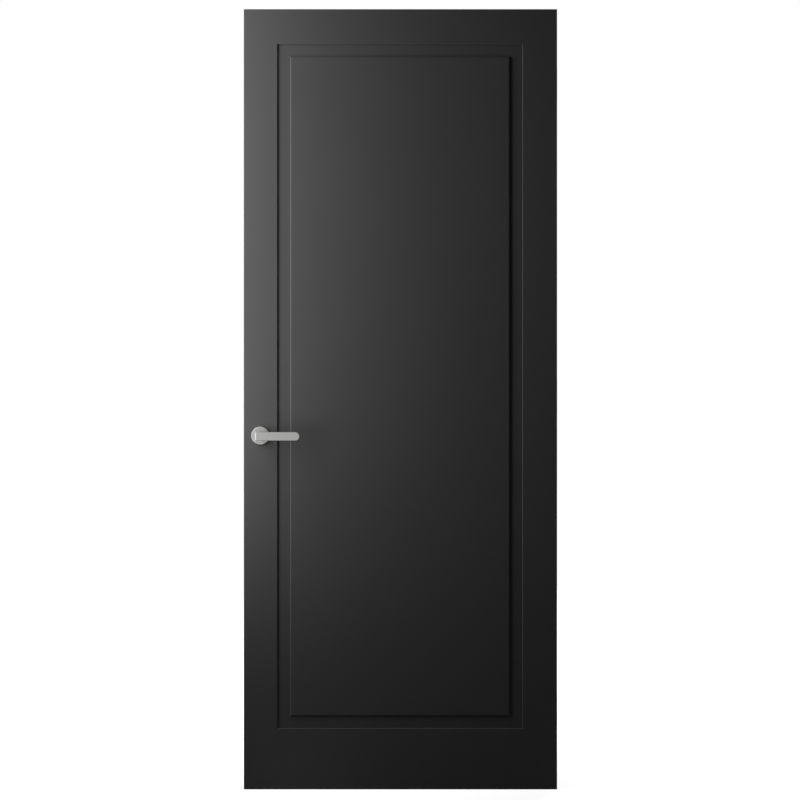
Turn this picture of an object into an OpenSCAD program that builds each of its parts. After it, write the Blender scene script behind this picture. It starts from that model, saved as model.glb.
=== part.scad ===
// Interior door leaf with a milled panel, magnetic passage latch, lever set and butt hinges.
// Millimetres. X right, Y away from the viewer, Z up. Origin: middle of the leaf's bottom edge.

/* [Leaf] */
// Width of the leaf
leaf_w = 930; // [730:10:1030]
// Height of the leaf
leaf_h = 2315; // [2015:5:2415]
// Thickness of the leaf
leaf_t = 40; // [38:1:44]
// Thickness of each MDF face
skin_t = 9; // [8:0.5:9.5]
// Thickness of the lippings on the long edges
lip_t = 6; // [5:0.5:8]
// Width of the timber stiles
stile_w = 50; // [45:1:58]
// Height of the top rail
top_rail_h = 60; // [40:5:90]
// Height of the bottom rail
bottom_rail_h = 100; // [60:5:140]
// Rounding of the leaf's long edges
edge_r = 1.5; // [0.8:0.1:2]
// Bore of the tunnels in the core board
tunnel_d = 14; // [10:0.5:16]
// Distance from one tunnel to the next
tunnel_pitch = 22; // [20:0.5:26]

/* [Milled panel] */
// Plain border at the latch edge
margin_latch = 100.5; // [90:0.5:130]
// Plain border at the hinge edge
margin_hinge = 103; // [90:0.5:130]
// Plain border at the top
margin_top = 103.5; // [80:0.5:140]
// Plain border at the bottom
margin_bottom = 181; // [120:0.5:260]
// Width of the milled channel
channel_w = 37; // [20:0.5:60]
// Depth of the milled channel
channel_d = 4.5; // [4:0.5:6.5]
// Rounding of the channel's outer edges
arris_r = 2; // [1:0.1:3]
// Rounding of the panel's edges
panel_r = 4; // [2:0.1:5]

/* [Lever set] */
// Height of the spindle above the leaf's bottom
lever_z = 1050; // [900:5:1150]
// Distance from the latch edge to the spindle
backset = 50; // [47:0.5:60]
// Spindle to the lever's tip
lever_len = 121; // [105:1:145]
// How far the lever stands out from the leaf
lever_out = 60; // [54:1:70]
// Height of the lever's grip
grip_h = 25; // [22:0.5:26]
// Thickness of the lever's grip
grip_t = 10; // [8:0.5:12]
// Rounding of the grip's long edges
grip_r = 2.6; // [1.5:0.1:3]
// Diameter of the lever's neck at the rose
neck_d = 20; // [19:0.5:21]
// Outer radius of the lever's bend
bend_r = 4.5; // [3.5:0.5:8]
// Diameter of the roses
rose_d = 53.5; // [50:0.5:58]
// Height of the roses
rose_h = 9.5; // [8.5:0.5:12]
// Side of the square spindle
spindle_a = 8; // [7:0.5:8]

/* [Latch] */
// Height of the latch bolt's middle above the spindle
bolt_up = 27; // [26:0.5:30]
// How far the latch bolt comes out
throw = 10; // [8:0.5:10]
// Height of the latch bolt
bolt_h = 20; // [16:0.5:22]
// Thickness of the latch bolt
bolt_t = 9; // [8:0.5:9.5]
// Turn of the lever from rest to its stop, in degrees
lever_turn = 40; // [30:1:45]
// Length of the forend
forend_h = 165; // [160:1:200]
// Width of the forend
forend_w = 20; // [18:0.5:22]

/* [Hinges] */
// Height of a hinge
hinge_h = 102; // [89:1:120]
// Width of an open hinge
hinge_w = 67; // [64:1:76]
// Thickness of a hinge plate
plate_t = 2.5; // [2.5:0.1:3]
// Diameter of the hinge knuckle
knuckle_d = 13; // [12.4:0.1:13.4]
// Diameter of the hinge pin
pin_d = 8; // [6:0.5:8]
// Gap between the leaf's edge and the frame
frame_gap = 2; // [2:0.5:4]
// Gap between the two plates of a closed hinge
plate_gap = 1.5; // [1:0.1:2]
// Top edge of the leaf to the middle of the top hinge
hinge_down = 220; // [150:5:300]
// Bottom edge of the leaf to the middle of the bottom hinge
hinge_up = 240; // [150:5:320]

/* [Hidden] */
$fn = 64;
ex = leaf_w/2;
fy = leaf_t/2;
core_t = leaf_t - 2*skin_t;
cx = ex - lip_t - stile_w;
sx = -ex + backset;
block_n = 3;
block_h = 300;
tunnels = floor(2*cx/tunnel_pitch);
zl = lever_z;
panel_edge = min(panel_r, channel_d - 0.5);

case_t = 15;
case_wall = 1.5;
forend_t = 3;
forend_screw_len = 30;
case_x0 = -ex + forend_t;
case_x1 = sx + 31;
case_z0 = zl - 40;
case_z1 = zl + bolt_up + 25;
forend_z0 = zl + 6 - forend_h/2;
forend_z1 = zl + 6 + forend_h/2;
bolt_z = zl + bolt_up;
arm_r = throw/(2*sin(lever_turn/2));
tip_r = 3.5;
draw_x = sx - arm_r*sin(lever_turn/2) + tip_r + 0.2;
draw_t = 2.5;
rod_r = 3;
rod_head_x = sx + 26;
bolt_pitch = 38;

rose_y = -fy - rose_h;
grip_y0 = -fy - lever_out;
grip_y1 = grip_y0 + grip_t;
flare_r = max(0.5, grip_h/2 - neck_d/2 - 0.6);

frame_x = ex + frame_gap - plate_t;
door_x = frame_x - plate_gap - plate_t;
pin_x = frame_x - plate_gap/2;
pin_y = fy + knuckle_d/2 + 0.5;
plate_y0 = pin_y - hinge_w/2;
plate_y1 = fy - 0.4;
hinge_z = [leaf_h - hinge_down, (leaf_h - hinge_down + hinge_up)/2, hinge_up];
kn_gap = 2.4;
kn_h = (hinge_h - 4*kn_gap)/5;
screw_head_r = 4.2;
screw_rows = [plate_y0 + screw_head_r + 1, core_t/2 - 2.5];
frame_y = (plate_y0 + plate_y1)/2;
frame_dy = 11;
frame_rows = [frame_y - frame_dy/2, frame_y + frame_dy/2];
screw_dz = hinge_h - 26;
hinge_screw_len = 36;
pilot_over = 3;

function arc(x, y, r, a0, a1, n) =
    [for (i = [0:n]) [x + r*cos(a0 + (a1 - a0)*i/n), y + r*sin(a0 + (a1 - a0)*i/n)]];

module box(x0, x1, y0, y1, z0, z1)
    translate([x0, y0, z0]) cube([x1 - x0, y1 - y0, z1 - z0]);

module xcyl(r, x0, x1, y, z)
    translate([x0, y, z]) rotate([0, 90, 0]) cylinder(r = r, h = x1 - x0);

module ycyl(r, x, y0, y1, z)
    translate([x, y0, z]) rotate([-90, 0, 0]) cylinder(r = r, h = y1 - y0);

// A coil along Z from z = 0 to z = len, with ground ends, centred on the axis
module coil(mean_r, wire_r, len, turns) {
    n = 18*turns;
    m = 8;
    rise = len - 2*wire_r;
    pts = [for (i = [0:n], k = [0:m - 1])
        let (a = 360*turns*i/n, t = i/n,
             c = wire_r*cos(360*k/m), s = wire_r*sin(360*k/m))
        [(mean_r + c)*cos(a), (mean_r + c)*sin(a), wire_r + rise*t + s]];
    sides = [for (i = [0:n - 1], k = [0:m - 1])
        [i*m + k, (i + 1)*m + k, (i + 1)*m + (k + 1)%m, i*m + (k + 1)%m]];
    polyhedron(concat(pts),
        concat([[for (k = [0:m - 1]) k]], sides, [[for (k = [m - 1:-1:0]) n*m + k]]));
}

// A straight countersunk screw along -Z with its head's face at z = 0
module screw(head_r, head_h, r, len) difference() {
    rotate_extrude() polygon([[0, 0], [head_r, 0], [head_r, -0.4], [r, -head_h],
        [r, -len + 2*r], [0, -len]]);
    translate([0, 0, -1.8]) cylinder(r = 0.42*head_r, h = 2, $fn = 6);
}

// Cutters shared by the pieces of the leaf

// Outline of the pocket between two outer walls, with its edges eased at the face.
// First value across or up the leaf, second value into the leaf from the face
function pocket_line(lo, hi) = concat(
    [[lo - arris_r, -1]], arc(lo - arris_r, arris_r, arris_r, -90, 0, 3),
    [[lo, channel_d], [hi, channel_d]],
    arc(hi + arris_r, arris_r, arris_r, 180, 270, 3), [[hi + arris_r, -1]]);

// Outline of the raised panel that stays standing in the pocket
function panel_line(lo, hi) = concat(
    [[lo, channel_d + 1]], arc(lo + panel_edge, panel_edge, panel_edge, 180, 270, 6),
    [[lo + panel_edge, -2], [hi - panel_edge, -2]],
    arc(hi - panel_edge, panel_edge, panel_edge, 270, 360, 6), [[hi, channel_d + 1]]);

// What two outlines have in common, one drawn across the leaf and one up it
module two_way(across, up) intersection() {
    linear_extrude(leaf_h) polygon([for (p = across) [p[0], -fy + p[1]]]);
    translate([-ex, 0, 0]) rotate([90, 0, 90]) linear_extrude(leaf_w)
        polygon([for (p = up) [-fy + p[1], p[0]]]);
}

module channel() {
    l = -ex + margin_latch;
    r = ex - margin_hinge;
    b = margin_bottom;
    t = leaf_h - margin_top;
    difference() {
        two_way(pocket_line(l, r), pocket_line(b, t));
        two_way(panel_line(l + channel_w, r - channel_w), panel_line(b + channel_w, t - channel_w));
    }
}

module handle_holes(y0, y1) {
    ycyl(11.5, sx, y0, y1, zl);
    for (s = [-1, 1]) ycyl(4, sx + s*bolt_pitch/2, y0, y1, zl);
}

module lock_mortise() box(-ex - 1, case_x1 + 2, -case_t/2 - 1, case_t/2 + 1, case_z0 - 2, case_z1 + 2);

// A plate with half-round ends, in the plane of the latch edge
module forend_plate(x0, x1, grow) {
    r = forend_w/2 + grow;
    box(x0, x1, -r, r, forend_z0 + forend_w/2, forend_z1 - forend_w/2);
    xcyl(r, x0, x1, 0, forend_z0 + forend_w/2);
    xcyl(r, x0, x1, 0, forend_z1 - forend_w/2);
}

module at_forend_screws()
    for (z = [forend_z0 + 10, forend_z1 - 10]) translate([-ex, 0, z]) rotate([0, -90, 0]) children();

// Recesses in the hinge edge, deep enough for both plates of the closed hinges
module hinge_pockets() for (h = hinge_z)
    box(door_x, ex + 1, plate_y0 - 0.1, fy + 1, h - hinge_h/2 - 0.1, h + hinge_h/2 + 0.1);

module at_hinge_screws()
    for (h = hinge_z, y = screw_rows, j = [-1, 1])
        translate([0, y, h + j*screw_dz/2]) children();

// Leaf

module front_skin() color("#191919") difference() {
    box(-ex + lip_t, ex - lip_t, -fy, -fy + skin_t, 0, leaf_h);
    channel();
    handle_holes(-fy - 1, -fy + skin_t + 1);
}

module rear_skin() color("#191919") mirror([0, 1, 0]) front_skin();

module edge_profile() polygon(concat(
    [[0, -fy]],
    arc(lip_t - edge_r, -fy + edge_r, edge_r, -90, 0, 4),
    arc(lip_t - edge_r, fy - edge_r, edge_r, 0, 90, 4),
    [[0, fy]]));

module hinge_lipping() color("#191919") difference() {
    translate([ex - lip_t, 0, 0]) linear_extrude(leaf_h) edge_profile();
    hinge_pockets();
    at_hinge_screws() xcyl(2.3, ex - lip_t - 1, ex + 1, 0, 0);
}

module latch_lipping() color("#191919") difference() {
    mirror([1, 0, 0]) translate([ex - lip_t, 0, 0]) linear_extrude(leaf_h) edge_profile();
    lock_mortise();
    forend_plate(-ex - 1, -ex + forend_t, 0.1);
    at_forend_screws() translate([0, 0, -lip_t - 1]) cylinder(r = 2.05, h = lip_t + 2);
}

module hinge_stile() color("#b98f5c") difference() {
    box(cx, ex - lip_t, -core_t/2, core_t/2, 0, leaf_h);
    at_hinge_screws() xcyl(2.3, door_x - hinge_screw_len - pilot_over, ex, 0, 0);
}

module latch_stile() color("#b98f5c") difference() {
    box(-ex + lip_t, -cx, -core_t/2, core_t/2, 0, leaf_h);
    lock_mortise();
    handle_holes(-fy, fy);
    at_forend_screws() translate([0, 0, -forend_screw_len - pilot_over])
        cylinder(r = 2.05, h = forend_screw_len + pilot_over);
}

module top_rail() color("#c29a68")
    box(-cx, cx, -core_t/2, core_t/2, leaf_h - top_rail_h, leaf_h);

module bottom_rail() color("#c29a68")
    box(-cx, cx, -core_t/2, core_t/2, 0, bottom_rail_h);

module lock_block() color("#c29a68") difference() {
    box(-cx, -cx + block_n*tunnel_pitch, -core_t/2, core_t/2, zl - block_h/2, zl + block_h/2);
    lock_mortise();
    handle_holes(-fy, fy);
}

module core() color("#cdb285") difference() {
    box(-cx, cx, -core_t/2, core_t/2, bottom_rail_h, leaf_h - top_rail_h);
    box(-cx - 1, -cx + block_n*tunnel_pitch, -fy, fy, zl - block_h/2, zl + block_h/2);
    for (i = [0:tunnels - 1])
        translate([-cx + (i + 0.5)*tunnel_pitch, 0, bottom_rail_h - 1])
            cylinder(r = tunnel_d/2, h = leaf_h);
}

// Latch

module forend() color("#c9c9c6") difference() {
    forend_plate(-ex, -ex + forend_t, 0);
    box(-ex - 1, 0, -bolt_t/2 - 0.25, bolt_t/2 + 0.25, bolt_z - bolt_h/2 - 0.25, bolt_z + bolt_h/2 + 0.25);
    at_forend_screws() rotate_extrude()
        polygon([[0, 1], [4.1, 1], [4.1, -0.45], [2.15, -2.4], [2.15, -5], [0, -5]]);
}

module forend_screws() color("#c9c9c6") at_forend_screws() screw(4, 2.3, 2, forend_screw_len);

// Tray of the case: back plate, rim, screw posts and the tab that guides the bolt's rod
module lock_case() color("#9ea2a5") difference() {
    union() {
        difference() {
            box(case_x0, case_x1, -case_t/2 + case_wall, case_t/2, case_z0, case_z1);
            box(case_x0 + case_wall, case_x1 - case_wall, -fy, case_t/2 - case_wall,
                case_z0 + case_wall, case_z1 - case_wall);
        }
        for (p = case_posts()) ycyl(3, p[0], -case_t/2 + case_wall, case_t/2 - 0.5, p[1]);
        box(sx - 13, sx - 11, -5, case_t/2 - 0.5, bolt_z - 8, bolt_z + 8);
    }
    box(case_x0 - 1, case_x0 + 3, -bolt_t/2 - 0.25, bolt_t/2 + 0.25,
        bolt_z - bolt_h/2 - 0.25, bolt_z + bolt_h/2 + 0.25);
    xcyl(rod_r + 0.3, sx - 14, sx - 10, 0, bolt_z);
    ycyl(7.55, sx, 0, fy, zl);
    for (s = [-1, 1]) ycyl(4.2, sx + s*bolt_pitch/2, 0, fy, zl);
    for (p = case_posts()) ycyl(1.3, p[0], -fy, 2, p[1]);
}

function case_posts() = [[case_x0 + 6, case_z0 + 6], [case_x1 - 6, case_z0 + 6],
    [case_x0 + 6, case_z1 - 6], [case_x1 - 6, case_z1 - 6]];

module lock_case_cover() color("#a8acaf") difference() {
    box(case_x0, case_x1, -case_t/2, -case_t/2 + case_wall, case_z0, case_z1);
    ycyl(7.55, sx, -fy, 0, zl);
    for (s = [-1, 1]) ycyl(4.2, sx + s*bolt_pitch/2, -fy, 0, zl);
    for (p = case_posts()) translate([p[0], -case_t/2, p[1]]) rotate([90, 0, 0]) rotate_extrude()
        polygon([[0, 1], [2.7, 1], [2.7, -0.5], [1.4, -1.45], [1.4, -3], [0, -3]]);
}

module case_screws() color("#8d9194")
    for (p = case_posts()) translate([p[0], -case_t/2, p[1]]) rotate([90, 0, 0]) screw(2.6, 1.4, 1.25, 9);

module latch_bolt() color("#b9bcbd") union() {
    difference() {
        box(-ex, -ex + 30, -bolt_t/2, bolt_t/2, bolt_z - bolt_h/2, bolt_z + bolt_h/2);
        for (s = [-1, 1]) translate([-ex, s*bolt_t/2, 0]) rotate([0, 0, 45])
            translate([-1, -1, 0]) cube([2, 2, leaf_h]);
    }
    xcyl(rod_r, -ex + 29, rod_head_x + 1, 0, bolt_z);
    xcyl(5.4, rod_head_x, rod_head_x + 2.5, 0, bolt_z);
}

// Plate on the bolt's rod, pushed by the follower
module draw_plate() color("#8f9396") difference() {
    box(draw_x, draw_x + draw_t, -5.5, 5.5, zl + 11, bolt_z + 7);
    xcyl(rod_r + 0.25, draw_x - 1, draw_x + draw_t + 1, 0, bolt_z);
}

module draw_spring() color("#70757a") translate([draw_x + draw_t, 0, bolt_z]) rotate([0, 90, 0])
    coil(4.1, 0.4, rod_head_x - draw_x - draw_t, 5);

// One arm of the follower, leaning from the upright by half the lever's turn
module arm() {
    translate([-2.2, -3, 0]) cube([4.4, 6, arm_r]);
    translate([0, -3, arm_r]) rotate([-90, 0, 0]) cylinder(r = tip_r, h = 6);
}

module follower() color("#a7aaa9") translate([sx, 0, zl]) difference() {
    union() {
        translate([0, -5.7, 0]) rotate([-90, 0, 0]) cylinder(r = 9.8, h = 11.4);
        translate([0, -7.4, 0]) rotate([-90, 0, 0]) cylinder(r = 7.5, h = 14.8);
        rotate([0, -lever_turn/2, 0]) arm();
        rotate([0, 180 - lever_turn/2, 0]) arm();
    }
    cube([spindle_a + 0.1, 40, spindle_a + 0.1], center = true);
}

module follower_spring() color("#70757a")
    translate([case_x0 + case_wall, 0, zl - max(arm_r*cos(lever_turn/2), 13.7)]) rotate([0, 90, 0])
        coil(3.2, 0.5, sx + arm_r*sin(lever_turn/2) - tip_r - 0.5 - case_x0 - case_wall, 8);

// Lever set: the front half is drawn and mirrored for the rear

module both_sides() {
    children();
    mirror([0, 1, 0]) children();
}

module rose_base() difference() {
    union() {
        ycyl(rose_d/2 - 1.05, sx, -fy - 6, -fy, zl);
        for (s = [-1, 1]) ycyl(3.75, sx + s*bolt_pitch/2, -fy - 1, -fy + skin_t - 2, zl);
    }
    ycyl(10.5, sx, -fy - 10, 0, zl);
    ycyl(12, sx, -fy - 2.5, 0, zl);
}

module front_rose_base() color("#55585a") difference() {
    rose_base();
    for (s = [-1, 1]) ycyl(2.05, sx + s*bolt_pitch/2, -fy - 4, 0, zl);
}

module rear_rose_base() color("#55585a") difference() {
    mirror([0, 1, 0]) rose_base();
    for (s = [-1, 1]) translate([sx + s*bolt_pitch/2, fy + 6, zl]) rotate([-90, 0, 0])
        rotate_extrude() polygon([[0, 1], [3.7, 1], [3.7, -0.4], [2.05, -2.2], [2.05, -20], [0, -20]]);
}

module rose_bolts() color("#8d9194") for (s = [-1, 1])
    translate([sx + s*bolt_pitch/2, fy + 6, zl]) rotate([-90, 0, 0]) screw(3.6, 2.1, 2, leaf_t + 9.5);

module bush() difference() {
    ycyl(10.5, sx, rose_y + 1, -fy - 2.5, zl);
    ycyl(8.55, sx, rose_y, -fy, zl);
}

module front_lever_bush() color("#e9e7e0") bush();

module rear_lever_bush() color("#e9e7e0") mirror([0, 1, 0]) bush();

module rose_cover() translate([sx, -fy, zl]) rotate([90, 0, 0]) rotate_extrude()
    polygon(concat(
        [[rose_d/2 - 1, 0], [rose_d/2, 0]],
        arc(rose_d/2 - 2.5, rose_h - 2.5, 2.5, 0, 90, 6),
        [[11.3, rose_h], [11.3, rose_h - 1]],
        [[rose_d/2 - 2.5, rose_h - 1]],
        [[rose_d/2 - 1, rose_h - 2.5]]));

module front_rose_cover() color("#b4b6b6") rose_cover();

module rear_rose_cover() color("#b4b6b6") mirror([0, 1, 0]) rose_cover();

// Section of the grip: first value from back to front, second value up
module grip_section() {
    g = grip_r;
    polygon(concat(
        arc(grip_t/2 - g, grip_h/2 - g, g, 0, 90, 5),
        arc(-grip_t/2 + g, grip_h/2 - g, g, 90, 180, 5),
        arc(-grip_t/2 + g, -grip_h/2 + g, g, 180, 270, 5),
        arc(grip_t/2 - g, -grip_h/2 + g, g, 270, 360, 5)));
}

// Outline of the grip from above, with its corner at the bend rounded
module grip_plan() polygon(concat(
    [[sx + lever_len - grip_h/2, grip_y1], [sx - neck_d/2, grip_y1]],
    arc(sx - neck_d/2 + bend_r, grip_y0 + bend_r, bend_r, 180, 270, 8),
    [[sx + lever_len - grip_h/2, grip_y0]]));

module lever() difference() {
    union() {
        // Journal and neck, flared into the back of the grip and cut flush with its end
        intersection() {
            translate([sx, -fy - 0.6, zl]) rotate([90, 0, 0]) rotate_extrude() polygon(concat(
                [[0, 0], [8.5, 0], [8.5, rose_h], [neck_d/2 - 0.6, rose_h], [neck_d/2, rose_h + 0.6]],
                arc(neck_d/2 + flare_r, lever_out - grip_t - 0.4 - flare_r, flare_r, 180, 90, 5),
                [[neck_d/2 + flare_r, lever_out - grip_t + 1], [0, lever_out - grip_t + 1]]));
            box(sx - neck_d/2, sx + neck_d, grip_y0, 0, zl - neck_d, zl + neck_d);
        }
        // Grip
        intersection() {
            translate([sx - neck_d, (grip_y0 + grip_y1)/2, zl]) rotate([0, 90, 0]) rotate([0, 0, 90])
                linear_extrude(lever_len + neck_d) grip_section();
            translate([0, 0, zl - grip_h]) linear_extrude(2*grip_h) grip_plan();
        }
        // Rounded tip
        translate([sx + lever_len - grip_h/2, (grip_y0 + grip_y1)/2, zl]) rotate([90, 0, 0])
            rotate_extrude() polygon(concat(
                [[0, -grip_t/2]],
                arc(grip_h/2 - grip_r, -grip_t/2 + grip_r, grip_r, -90, 0, 5),
                arc(grip_h/2 - grip_r, grip_t/2 - grip_r, grip_r, 0, 90, 5),
                [[0, grip_t/2]]));
    }
    // Square socket, groove for the circlip and hole for the grub screw
    box(sx - spindle_a/2 - 0.05, sx + spindle_a/2 + 0.05, -fy - 36, 0,
        zl - spindle_a/2 - 0.05, zl + spindle_a/2 + 0.05);
    translate([sx, -fy - 1, zl]) rotate([90, 0, 0]) rotate_extrude()
        polygon([[7.5, 0], [12, 0], [12, 1.3], [7.5, 1.3]]);
    translate([sx, -fy - 22, zl - 20]) cylinder(r = 3, h = 20);
}

module front_lever() color("#b2b4b4") lever();

module rear_lever() color("#b2b4b4") mirror([0, 1, 0]) lever();

module spindle() color("#8b8f92")
    box(sx - spindle_a/2, sx + spindle_a/2, -fy - 34, fy + 34, zl - spindle_a/2, zl + spindle_a/2);

module grub_screws() color("#3c3e40") both_sides()
    translate([sx, -fy - 22, zl - spindle_a/2]) mirror([0, 0, 1]) difference() {
        cylinder(r = 2.95, h = 5);
        translate([0, 0, 2.5]) cylinder(r = 1.7, h = 3, $fn = 6);
    }

module lever_circlips() color("#6d7275") both_sides() difference() {
    ycyl(10.6, sx, -fy - 2.2, -fy - 1.1, zl);
    ycyl(7.6, sx, -fy - 3, 0, zl);
    box(sx - 1.6, sx + 1.6, -fy - 3, 0, zl, zl + 12);
}

// Hinges: knuckles 1, 3 and 5 belong to the frame's plate, 2 and 4 to the leaf's plate

function kn_z(h, i) = h - hinge_h/2 + i*(kn_h + kn_gap);

module plate(x0, x1, h, own, hole_r, rows, face, out) difference() {
    union() {
        box(x0, x1, plate_y0, plate_y1, h - hinge_h/2, h + hinge_h/2);
        for (i = own) {
            box(x0, x1, plate_y1 - 1, pin_y, kn_z(h, i), kn_z(h, i) + kn_h);
            translate([pin_x, pin_y, kn_z(h, i)]) cylinder(r = knuckle_d/2, h = kn_h);
        }
    }
    translate([pin_x, pin_y, h - hinge_h]) cylinder(r = pin_d/2 + 0.05, h = 2*hinge_h);
    for (y = rows, j = [-1, 1]) translate([face, y, h + j*screw_dz/2])
        rotate([0, 90*out, 0]) rotate_extrude()
            polygon([[0, 1], [screw_head_r + 0.2, 1], [screw_head_r + 0.2, -0.3], [hole_r, -1.9],
                [hole_r, -9], [0, -9]]);
}

module door_plate(h) color("#c3c5c4")
    plate(door_x, door_x + plate_t, h, [1, 3], 2.4, screw_rows, door_x + plate_t, 1);

module frame_plate(h) color("#c3c5c4")
    plate(frame_x, frame_x + plate_t, h, [0, 2, 4], 2.6, frame_rows, frame_x, -1);

module pin(h) color("#c8caca") translate([pin_x, pin_y, h]) rotate_extrude() polygon(concat(
    [[0, -hinge_h/2 - 3.5]],
    arc(knuckle_d/2 - 2, -hinge_h/2 - 1.5, 1.8, -90, 0, 4),
    [[knuckle_d/2 - 0.2, -hinge_h/2], [pin_d/2, -hinge_h/2], [pin_d/2, hinge_h/2],
     [knuckle_d/2 - 0.2, hinge_h/2]],
    arc(knuckle_d/2 - 2, hinge_h/2 + 1.5, 1.8, 0, 90, 4),
    [[0, hinge_h/2 + 3.5]]));

// Four bearing rings, each against a knuckle of the frame's plate
module bearings(h) color("#8a8468") for (i = [0:3])
    translate([pin_x, pin_y, kn_z(h, i) + kn_h + (i%2 == 0 ? 0 : 0.3)]) difference() {
        cylinder(r = knuckle_d/2 - 0.2, h = kn_gap - 0.3);
        translate([0, 0, -1]) cylinder(r = pin_d/2 + 0.1, h = kn_gap + 2);
    }

module hinge_top_frame_plate() frame_plate(hinge_z[0]);
module hinge_middle_frame_plate() frame_plate(hinge_z[1]);
module hinge_bottom_frame_plate() frame_plate(hinge_z[2]);
module hinge_top_door_plate() door_plate(hinge_z[0]);
module hinge_middle_door_plate() door_plate(hinge_z[1]);
module hinge_bottom_door_plate() door_plate(hinge_z[2]);
module hinge_top_pin() pin(hinge_z[0]);
module hinge_middle_pin() pin(hinge_z[1]);
module hinge_bottom_pin() pin(hinge_z[2]);
module hinge_top_bearings() bearings(hinge_z[0]);
module hinge_middle_bearings() bearings(hinge_z[1]);
module hinge_bottom_bearings() bearings(hinge_z[2]);

module hinge_screws() color("#c3c5c4") at_hinge_screws()
    translate([door_x + plate_t, 0, 0]) rotate([0, 90, 0]) screw(screw_head_r, 1.9, 2.2, hinge_screw_len);

front_skin();
rear_skin();
hinge_lipping();
latch_lipping();
hinge_stile();
latch_stile();
top_rail();
bottom_rail();
lock_block();
core();
forend();
forend_screws();
lock_case();
lock_case_cover();
case_screws();
latch_bolt();
draw_plate();
draw_spring();
follower();
follower_spring();
front_rose_base();
rear_rose_base();
rose_bolts();
front_lever_bush();
rear_lever_bush();
front_rose_cover();
rear_rose_cover();
front_lever();
rear_lever();
spindle();
grub_screws();
lever_circlips();
hinge_top_frame_plate();
hinge_middle_frame_plate();
hinge_bottom_frame_plate();
hinge_top_door_plate();
hinge_middle_door_plate();
hinge_bottom_door_plate();
hinge_top_pin();
hinge_middle_pin();
hinge_bottom_pin();
hinge_top_bearings();
hinge_middle_bearings();
hinge_bottom_bearings();
hinge_screws();
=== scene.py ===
"""Interior door leaf in matt black with a milled panel, lever set, magnetic latch and three butt hinges."""
import math

import bpy
import numpy as np
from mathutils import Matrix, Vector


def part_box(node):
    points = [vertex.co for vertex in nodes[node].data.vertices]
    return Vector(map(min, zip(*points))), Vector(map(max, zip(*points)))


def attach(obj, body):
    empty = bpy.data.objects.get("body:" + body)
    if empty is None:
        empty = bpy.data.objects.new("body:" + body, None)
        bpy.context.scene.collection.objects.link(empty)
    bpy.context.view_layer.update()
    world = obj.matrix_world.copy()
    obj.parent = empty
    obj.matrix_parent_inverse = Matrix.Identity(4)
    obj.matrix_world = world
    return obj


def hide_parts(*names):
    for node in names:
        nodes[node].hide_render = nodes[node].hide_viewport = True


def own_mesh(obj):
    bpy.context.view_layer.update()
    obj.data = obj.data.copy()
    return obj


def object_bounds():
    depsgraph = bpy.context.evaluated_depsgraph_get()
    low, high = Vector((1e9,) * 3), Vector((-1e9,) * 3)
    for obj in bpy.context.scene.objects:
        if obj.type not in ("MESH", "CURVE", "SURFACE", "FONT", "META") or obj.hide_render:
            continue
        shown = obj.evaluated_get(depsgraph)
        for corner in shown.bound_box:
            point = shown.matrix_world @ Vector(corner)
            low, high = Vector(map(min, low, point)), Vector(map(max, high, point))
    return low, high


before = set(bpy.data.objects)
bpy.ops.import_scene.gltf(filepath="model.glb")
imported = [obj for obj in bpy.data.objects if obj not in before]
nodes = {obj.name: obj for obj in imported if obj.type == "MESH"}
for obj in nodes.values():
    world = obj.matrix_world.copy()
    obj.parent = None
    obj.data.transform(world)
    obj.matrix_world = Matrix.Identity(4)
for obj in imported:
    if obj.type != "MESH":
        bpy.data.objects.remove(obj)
cad_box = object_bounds()


# Timber frame of the leaf: two stiles, two rails and a lock block of planed softwood, glued up flat.
# The long grain shows on the faces, and the ends that reach the leaf's top and bottom are sealed black.

X, Z = 0, 2

# Sockets of a mix node that mixes colours: its share, its two colours, and the output with the result
SHARE, FIRST, SECOND, MIXED = 0, 6, 7, 2


def linear(code):
    """sRGB hex to linear RGBA: a channel c goes to ((c + 0.055) / 1.055) ** 2.4, or c / 12.92 near black."""
    channels = [int(code[i:i + 2], 16) / 255 for i in (1, 3, 5)]
    return [c / 12.92 if c <= 0.04045 else ((c + 0.055) / 1.055) ** 2.4 for c in channels] + [1.0]


def add(tree, kind, sockets=None, **options):
    """Adds a node. Options are its own settings, and sockets its inputs: plain values or nodes' outputs."""
    made = tree.nodes.new(kind)
    for key, value in options.items():
        setattr(made, key, value)
    for key, value in (sockets or {}).items():
        if isinstance(value, bpy.types.NodeSocket):
            tree.links.new(value, made.inputs[key])
        else:
            made.inputs[key].default_value = value
    return made


def new_finish(name):
    """An empty material: gives it, its node tree, the surface shader and the Object coordinates in metres."""
    material = bpy.data.materials.new(name)
    material.use_nodes = True
    tree = material.node_tree
    tree.nodes.clear()
    shader = add(tree, "ShaderNodeBsdfPrincipled")
    add(tree, "ShaderNodeOutputMaterial", {"Surface": shader.outputs["BSDF"]})
    return material, tree, shader, add(tree, "ShaderNodeTexCoord").outputs["Object"]


def dress(material, *names):
    """Puts a material into the slot of each named CAD piece."""
    for name in names:
        nodes[name].data.materials.clear()
        nodes[name].data.materials.append(material)


def per_mm(size):
    """Pattern scale, in cycles per metre, for features that are so many millimetres apart."""
    return 1000 / size


def drawn_along(axis, pace):
    """Coordinate scale that slows one axis to a share of its pace, which draws a pattern out along it."""
    return [pace if number == axis else 1.0 for number in range(3)]


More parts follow.
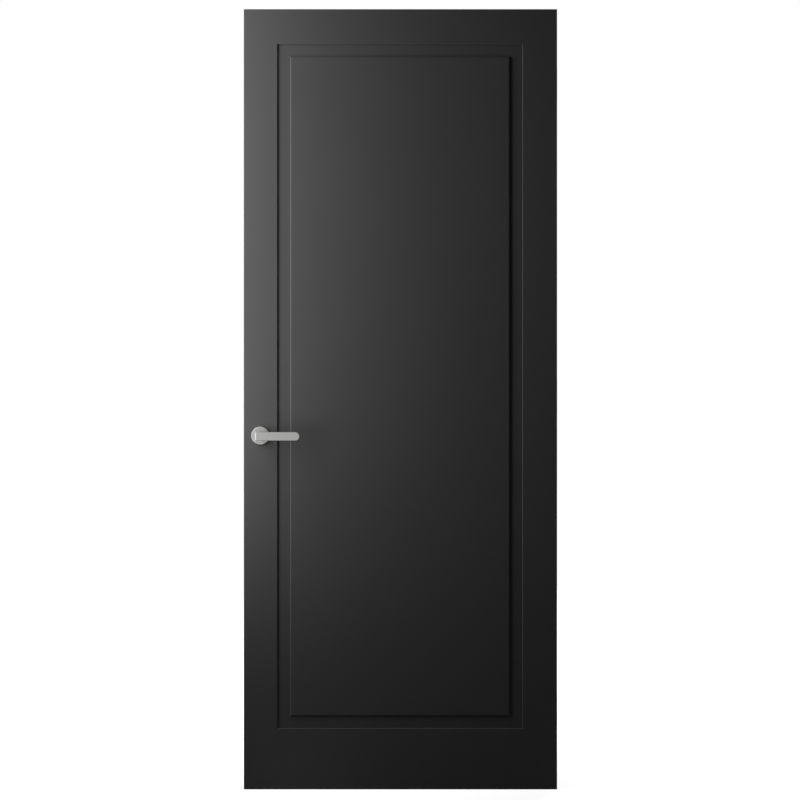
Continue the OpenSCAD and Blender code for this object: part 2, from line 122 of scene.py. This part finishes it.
def planed_softwood(name, along):
    """Planed spruce: pale straw early wood with darker late-wood lines along the grain, 4 mm apart."""
    material, tree, shader, place = new_finish(name)
    stretch = drawn_along(along, pace=0.03)
    drawn = add(tree, "ShaderNodeMapping", {"Vector": place, "Scale": stretch}).outputs["Vector"]
    rings = add(tree, "ShaderNodeTexNoise", {"Vector": drawn, "Scale": per_mm(4), "Detail": 4.0,
                                             "Roughness": 0.6, "Distortion": 0.4}).outputs["Fac"]
    wood = add(tree, "ShaderNodeValToRGB", {"Fac": rings})
    early, late = wood.color_ramp.elements
    early.position, early.color = 0.35, linear("#cba673")
    late.position, late.color = 0.68, linear("#a3743f")
    # A film of sealer on the end faces, which lie at the leaf's very bottom and top
    film = 0.0002
    middle = cad_box[1].z / 2
    height = add(tree, "ShaderNodeSeparateXYZ", {"Vector": place}).outputs["Z"]
    from_middle = add(tree, "ShaderNodeMath", {0: height, 1: middle}, operation="SUBTRACT").outputs[0]
    distance = add(tree, "ShaderNodeMath", {0: from_middle}, operation="ABSOLUTE").outputs[0]
    sealed = add(tree, "ShaderNodeMath", {0: distance, 1: middle - film},
                 operation="GREATER_THAN").outputs[0]
    colour = add(tree, "ShaderNodeMix", {SHARE: sealed, FIRST: wood.outputs["Color"],
                                         SECOND: linear("#262524")}, data_type="RGBA").outputs[MIXED]
    tree.links.new(colour, shader.inputs["Base Color"])
    relief = add(tree, "ShaderNodeBump", {"Height": rings, "Strength": 0.3, "Distance": 0.0002})
    tree.links.new(relief.outputs["Normal"], shader.inputs["Normal"])
    shader.inputs["Roughness"].default_value = 0.7
    shader.inputs["Specular IOR Level"].default_value = 0.2
    return material


dress(planed_softwood("planed_softwood_upright", Z), "hinge_stile", "latch_stile", "lock_block")
dress(planed_softwood("planed_softwood_across", X), "top_rail", "bottom_rail")


# Core of the leaf: extruded chipboard with a row of upright tunnels, glued between the stiles and rails.
# Pressed chips a few millimetres long give it a mottled tan face.

chipboard, tree, shader, place = new_finish("extruded_chipboard")
stretch = drawn_along(Z, pace=0.45)
drawn = add(tree, "ShaderNodeMapping", {"Vector": place, "Scale": stretch}).outputs["Vector"]
chips = add(tree, "ShaderNodeTexVoronoi", {"Vector": drawn, "Scale": per_mm(6)})
tone = add(tree, "ShaderNodeSeparateColor", {"Color": chips.outputs["Color"]}).outputs["Red"]
chip_colour = add(tree, "ShaderNodeValToRGB", {"Fac": tone})
chip_colour.color_ramp.elements[0].color = linear("#a5814f")
chip_colour.color_ramp.elements[1].color = linear("#d6bb8b")
tree.links.new(chip_colour.outputs["Color"], shader.inputs["Base Color"])
pressed = add(tree, "ShaderNodeBump", {"Height": chips.outputs["Distance"], "Strength": 0.4,
                                       "Distance": 0.0004})
tree.links.new(pressed.outputs["Normal"], shader.inputs["Normal"])
shader.inputs["Roughness"].default_value = 0.85
shader.inputs["Specular IOR Level"].default_value = 0.2
dress(chipboard, "core")


# Faces and edges of the leaf: 9 mm MDF with the panel's channel milled in, and lippings on the long edges.
# All of it is sanded, sprayed matt black and left from the gun, with a faint orange peel and little shine.

# Most values of a noise lie between these two
NOISE_LOW, NOISE_HIGH = 0.3, 0.7

lacquer, tree, shader, place = new_finish("sprayed_matt_black_lacquer")
# Film thickness drifts slowly over the face, so the black is a shade deeper in places 300 mm apart
drift = add(tree, "ShaderNodeTexNoise", {"Vector": place, "Scale": per_mm(300), "Detail": 3.0}).outputs["Fac"]
black = add(tree, "ShaderNodeMix", {SHARE: drift, FIRST: linear("#3d3d3d"), SECOND: linear("#414141")},
            data_type="RGBA").outputs[MIXED]
tree.links.new(black, shader.inputs["Base Color"])
# Overspray: patches 40 mm apart are a little rougher
dust = add(tree, "ShaderNodeTexNoise", {"Vector": place, "Scale": per_mm(40), "Detail": 4.0}).outputs["Fac"]
rough = add(tree, "ShaderNodeMapRange", {"Value": dust, "From Min": NOISE_LOW, "From Max": NOISE_HIGH,
                                         "To Min": 0.62, "To Max": 0.72}).outputs["Result"]
tree.links.new(rough, shader.inputs["Roughness"])
# Orange peel is 2 mm apart on the real film, drawn at 5 mm so that it shows
peel = add(tree, "ShaderNodeTexNoise", {"Vector": place, "Scale": per_mm(5), "Detail": 2.0}).outputs["Fac"]
ripple = add(tree, "ShaderNodeBump", {"Height": peel, "Strength": 0.25, "Distance": 0.0001})
tree.links.new(ripple.outputs["Normal"], shader.inputs["Normal"])
shader.inputs["Specular IOR Level"].default_value = 0.05
lacquered = ("front_skin", "rear_skin", "hinge_lipping", "latch_lipping")
dress(lacquer, *lacquered)


# Latch: satin stainless forend and bolt head in the edge, and a folded case of zinc-plated steel behind it.
# Steel springs push the follower back and draw the bolt in, and all of it goes into a mortise in the edge.

def brushed_metal(name, colour, grit, smoothest, roughest, along):
    """Brushed metal: scratches one grit apart, drawn out along one axis, vary its roughness and relief."""
    material, tree, shader, place = new_finish(name)
    stretch = drawn_along(along, pace=0.04)
    drawn = add(tree, "ShaderNodeMapping", {"Vector": place, "Scale": stretch}).outputs["Vector"]
    scratch = add(tree, "ShaderNodeTexNoise", {"Vector": drawn, "Scale": per_mm(grit),
                                               "Detail": 3.0}).outputs["Fac"]
    rough = add(tree, "ShaderNodeMapRange", {"Value": scratch, "From Min": NOISE_LOW, "From Max": NOISE_HIGH,
                                             "To Min": smoothest, "To Max": roughest}).outputs["Result"]
    tree.links.new(rough, shader.inputs["Roughness"])
    relief = add(tree, "ShaderNodeBump", {"Height": scratch, "Strength": 0.15, "Distance": 0.00005})
    tree.links.new(relief.outputs["Normal"], shader.inputs["Normal"])
    shader.inputs["Base Color"].default_value = linear(colour)
    shader.inputs["Metallic"].default_value = 1.0
    return material


# Stainless steel, ground with a belt: lines 0.2 mm apart on the real plate, drawn at 1 mm so that they show
satin_steel = brushed_metal("brushed_stainless_steel", "#a2a29f", 1.0, 0.28, 0.42, Z)
dress(satin_steel, "forend", "forend_screws", "latch_bolt")

# Zinc-plated steel: blue-grey, with a faint spangle 2 mm across and no grain
zinc, tree, shader, place = new_finish("zinc_plated_steel")
spangle = add(tree, "ShaderNodeTexVoronoi", {"Vector": place, "Scale": per_mm(2)}).outputs["Color"]
shade = add(tree, "ShaderNodeSeparateColor", {"Color": spangle}).outputs["Red"]
plating = add(tree, "ShaderNodeMix", {SHARE: shade, FIRST: linear("#9aa0a4"), SECOND: linear("#abb0b2")},
              data_type="RGBA").outputs[MIXED]
tree.links.new(plating, shader.inputs["Base Color"])
rough = add(tree, "ShaderNodeMapRange", {"Value": shade, "To Min": 0.34, "To Max": 0.46}).outputs["Result"]
tree.links.new(rough, shader.inputs["Roughness"])
shader.inputs["Metallic"].default_value = 1.0
dress(zinc, "lock_case", "lock_case_cover", "case_screws", "draw_plate", "follower", "spindle", "rose_bolts")

# Drawn spring steel: dark grey wire with die lines about 0.3 mm apart
spring_steel = brushed_metal("drawn_spring_steel", "#6a6e71", 0.3, 0.3, 0.45, X)
dress(spring_steel, "grub_screws", "lever_circlips")

STEPS_PER_TURN = 24
WIRE_SIDES = 10


def wound_spring(name, node, radius, wire, turns, start, end):
    """A coil in a CAD spring's place. Its wire's middle goes evenly round the axis at the mean radius R, and
    evenly along x from one wire radius w inside the CAD spring's first x0 to as much inside its last. With
    n turns, length L and t from start to end it is (x0 + w + (L - 2w) t, R cos 2 pi n t, R sin 2 pi n t)."""
    low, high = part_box(node)
    t = np.linspace(start, end, round(STEPS_PER_TURN * turns * (end - start)) + 1)
    turn = 2 * np.pi * turns * t
    out = np.stack([0 * t, np.cos(turn), np.sin(turn)], 1)
    along = low.x + wire + (high.x - low.x - 2 * wire) * t
    middle = np.stack([along, 0 * t, 0 * t + (low.z + high.z) / 2], 1) + radius * out
    side = np.linspace(0, 2 * np.pi, WIRE_SIDES, endpoint=False)
    rings = middle[:, None] + wire * (np.cos(side)[None, :, None] * out[:, None]
                                      + np.sin(side)[None, :, None] * np.array([1.0, 0, 0]))
    index = np.arange(rings[..., 0].size).reshape(len(t), len(side))
    ahead = np.roll(index, -1, 1)
    quads = np.stack([index[:-1], index[1:], ahead[1:], ahead[:-1]], 2).reshape(-1, 4).tolist()
    caps = [index[0].tolist(), index[-1, ::-1].tolist()]
    mesh = bpy.data.meshes.new(name)
    mesh.from_pydata(rings.reshape(-1, 3).tolist(), [], quads + caps)
    mesh.shade_smooth()
    mesh.materials.append(spring_steel)
    made = bpy.data.objects.new(name, mesh)
    bpy.context.scene.collection.objects.link(made)
    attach(made, "leaf")
    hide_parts(node)
    return made, low, high


# The follower shortens one spring against the case. The other stands between the draw plate, which the lever
# moves, and the head of the bolt's rod, so it is drawn as two halves that meet at the spring's middle.
# The coils are drawn at rest, where in use every end that moves travels the bolt's throw of 10 mm and a hair
# more
for name, node, joint, radius, wire, turns, start, end, held in (
        ("follower_coil", "follower_spring", "lever_turn", 0.0032, 0.0005, 8, 0.0, 1.0, 0.0),
        ("draw_coil_plate_half", "draw_spring", "lever_turn", 0.0041, 0.0004, 5, 0.0, 0.5, 0.5),
        ("draw_coil_head_half", "draw_spring", "latch_slide", 0.0041, 0.0004, 5, 0.5, 1.0, 0.5)):
    coil, low, high = wound_spring(name, node, radius, wire, turns, start, end)
    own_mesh(coil)


# Lever set: on each face a turned rose, snapped over a nylon base, and a cast lever with a flat grip on a
# round neck. Both are aluminium, blasted and anodised to a satin grey, and a grub screw holds each lever on
# the square spindle.

# Moulded nylon: black, with the fine texture of its mould 0.6 mm apart
moulded_nylon, tree, shader, place = new_finish("moulded_black_nylon")
spark = add(tree, "ShaderNodeTexNoise", {"Vector": place, "Scale": per_mm(0.6), "Detail": 2.0}).outputs["Fac"]
texture = add(tree, "ShaderNodeBump", {"Height": spark, "Strength": 0.3, "Distance": 0.00005})
tree.links.new(texture.outputs["Normal"], shader.inputs["Normal"])
rough = add(tree, "ShaderNodeMapRange", {"Value": spark, "To Min": 0.45, "To Max": 0.6}).outputs["Result"]
tree.links.new(rough, shader.inputs["Roughness"])
shader.inputs["Base Color"].default_value = linear("#2b2c2d")
shader.inputs["IOR"].default_value = 1.53
dress(moulded_nylon, "front_rose_base", "rear_rose_base", "front_lever_bush", "rear_lever_bush")

# Blasted and anodised aluminium: even satin grey with grain 0.2 mm apart on the real piece, drawn at 1.2 mm
satin_aluminium, tree, shader, place = new_finish("blasted_anodised_aluminium")
grain = add(tree, "ShaderNodeTexNoise", {"Vector": place, "Scale": per_mm(1.2), "Detail": 2.0}).outputs["Fac"]
rough = add(tree, "ShaderNodeMapRange", {"Value": grain, "From Min": NOISE_LOW, "From Max": NOISE_HIGH,
                                         "To Min": 0.46, "To Max": 0.54}).outputs["Result"]
tree.links.new(rough, shader.inputs["Roughness"])
blast = add(tree, "ShaderNodeBump", {"Height": grain, "Strength": 0.12, "Distance": 0.00005})
tree.links.new(blast.outputs["Normal"], shader.inputs["Normal"])
shader.inputs["Base Color"].default_value = linear("#989897")
shader.inputs["Metallic"].default_value = 1.0
anodised = ("front_rose_cover", "rear_rose_cover", "front_lever", "rear_lever")
dress(satin_aluminium, *anodised)


# Hinges: two pressed stainless plates each, with rolled knuckles that turn on a loose pin with domed ends.
# The leaf's plate is screwed into a recess of its edge that is deep enough for both, and zinc-plated rings
# carry the leaf between the knuckles.

for hinge in ("hinge_top", "hinge_middle", "hinge_bottom"):
    dress(satin_steel, *(f"{hinge}_{part}" for part in ("frame_plate", "door_plate", "pin")))
    dress(zinc, f"{hinge}_bearings")
dress(satin_steel, "hinge_screws")


# Studio floor: a pale sweep that reads as white to the eye and in the metal, and still takes a faint shadow.
# For light that bounces off it the floor is dark, as on a stage with little fill from below.

reach = 9
corners = [(-reach, -reach, 0), (reach, -reach, 0), (reach, reach, 0), (-reach, reach, 0)]
floor_mesh = bpy.data.meshes.new("studio_floor")
floor_mesh.from_pydata(corners, [], [(0, 1, 2, 3)])
floor = bpy.data.objects.new("studio_floor", floor_mesh)
bpy.context.scene.collection.objects.link(floor)


def seen_directly(tree):
    """1 for rays from the camera, from a glossy surface or through glass, 0 for the rest."""
    path = add(tree, "ShaderNodeLightPath").outputs
    either = add(tree, "ShaderNodeMath", {0: path["Is Camera Ray"], 1: path["Is Glossy Ray"]},
                 operation="MAXIMUM").outputs[0]
    return add(tree, "ShaderNodeMath", {0: either, 1: path["Is Transmission Ray"]},
               operation="MAXIMUM").outputs[0]


pale = bpy.data.materials.new("painted_studio_floor")
pale.use_nodes = True
tree = pale.node_tree
tree.nodes.clear()
dim = add(tree, "ShaderNodeBsdfDiffuse", {"Color": linear("#5e5e5e")})
lit = add(tree, "ShaderNodeBsdfDiffuse", {"Color": linear("#d0d0d0")})
# The glow is full white from 1 m out and painted darker near the leaf, a painted shade around its foot under
# which the lamps' shadow stays
place = add(tree, "ShaderNodeTexCoord").outputs["Object"]
away = add(tree, "ShaderNodeVectorMath", {0: place}, operation="LENGTH")
glow_painted_darker_near_leaf = add(tree, "ShaderNodeMapRange", {"Value": away.outputs["Value"], "From Min": 0.4, "From Max": 1.0,
                                        "To Min": 0.72, "To Max": 1.0})
glow = add(tree, "ShaderNodeEmission", {"Color": linear("#ffffff"), "Strength": glow_painted_darker_near_leaf.outputs["Result"]})
white = add(tree, "ShaderNodeAddShader", {0: lit.outputs["BSDF"], 1: glow.outputs["Emission"]})
shown = add(tree, "ShaderNodeMixShader", {0: seen_directly(tree), 1: dim.outputs["BSDF"],
                                          2: white.outputs["Shader"]})
add(tree, "ShaderNodeOutputMaterial", {"Surface": shown.outputs["Shader"]})
floor.data.materials.append(pale)


# Studio light: one tall strip softbox close to the latch edge, a broad one behind for the far faces, a weak
# one by the foot of the latch side, and a world that is white to the camera and in the metal but gives
# little fill.

def softbox(name, place, target, width, height, power):
    """A rectangular lamp at place, turned so that it faces target: sizes in metres, power in watts."""
    lamp = bpy.data.lights.new(name, "AREA")
    lamp.shape = "RECTANGLE"
    lamp.size, lamp.size_y, lamp.energy = width, height, power
    made = bpy.data.objects.new(name, lamp)
    made.location = place
    toward = [t - p for t, p in zip(target, place)]
    made.rotation_euler = (math.atan2(math.hypot(toward[0], toward[1]), -toward[2]), 0,
                           math.atan2(-toward[0], toward[1]))
    bpy.context.scene.collection.objects.link(made)
    return made


strip_size = (0.70, 2.0)
strip = softbox("strip_left", (-0.973, -0.30, 1.77), (-0.6, 0.0, 1.775), *strip_size, 39.6)
broad = softbox("broad_behind", (1.7, 2.3, 1.7), (0.2, 0.0, 1.1), 1.2, 2.0, 65)
strip.visible_glossy = broad.visible_glossy = False
# The strip as the lacquer and the blasted lever set reflect it, toned down so that no edge burns out. It
# stands 1 cm in front of the other, and the brighter steel in the leaf's edges leaves it out
glint = softbox("strip_left_glint", (-0.965, -0.294, 1.77), (-0.592, 0.006, 1.775), *strip_size, 15.0)
glint.visible_diffuse = False
shows_glint = bpy.data.collections.new("shows_glint")
for name in lacquered + anodised:
    shows_glint.objects.link(nodes[name])
glint.light_linking.receiver_collection = shows_glint
# The tall strip gives out by the foot of the latch side, so a low one lifts it a little
foot = softbox("strip_foot", (-0.33, -0.25, 0.03), (-0.33, 0.0, 0.06), 0.30, 0.06, 0.066)
foot.visible_glossy = foot.visible_camera = False

world = bpy.data.worlds.new("white_studio")
world.use_nodes = True
bpy.context.scene.world = world
tree = world.node_tree
tree.nodes.clear()
level = add(tree, "ShaderNodeMapRange", {"Value": seen_directly(tree), "To Min": 0.0335, "To Max": 1.0})
backing = add(tree, "ShaderNodeBackground", {"Color": linear("#ffffff"), "Strength": level.outputs["Result"]})
add(tree, "ShaderNodeOutputWorld", {"Surface": backing.outputs["Background"]})


# Camera: level and square to the leaf, 3.2 m in front of it and 3 cm above its middle.
# The lens is lowered by about as much, so that the leaf stands in the middle of the picture.

view = bpy.data.cameras.new("photo_view")
view.lens, view.sensor_width, view.shift_y = 48.23, 36.0, -0.015
camera = bpy.data.objects.new("photo_view", view)
camera.location = (-0.0013, -3.20, 1.191)
camera.rotation_euler = (math.pi / 2, 0, 0)
bpy.context.scene.collection.objects.link(camera)
bpy.context.scene.camera = camera
bpy.context.scene.view_settings.view_transform = "Standard"
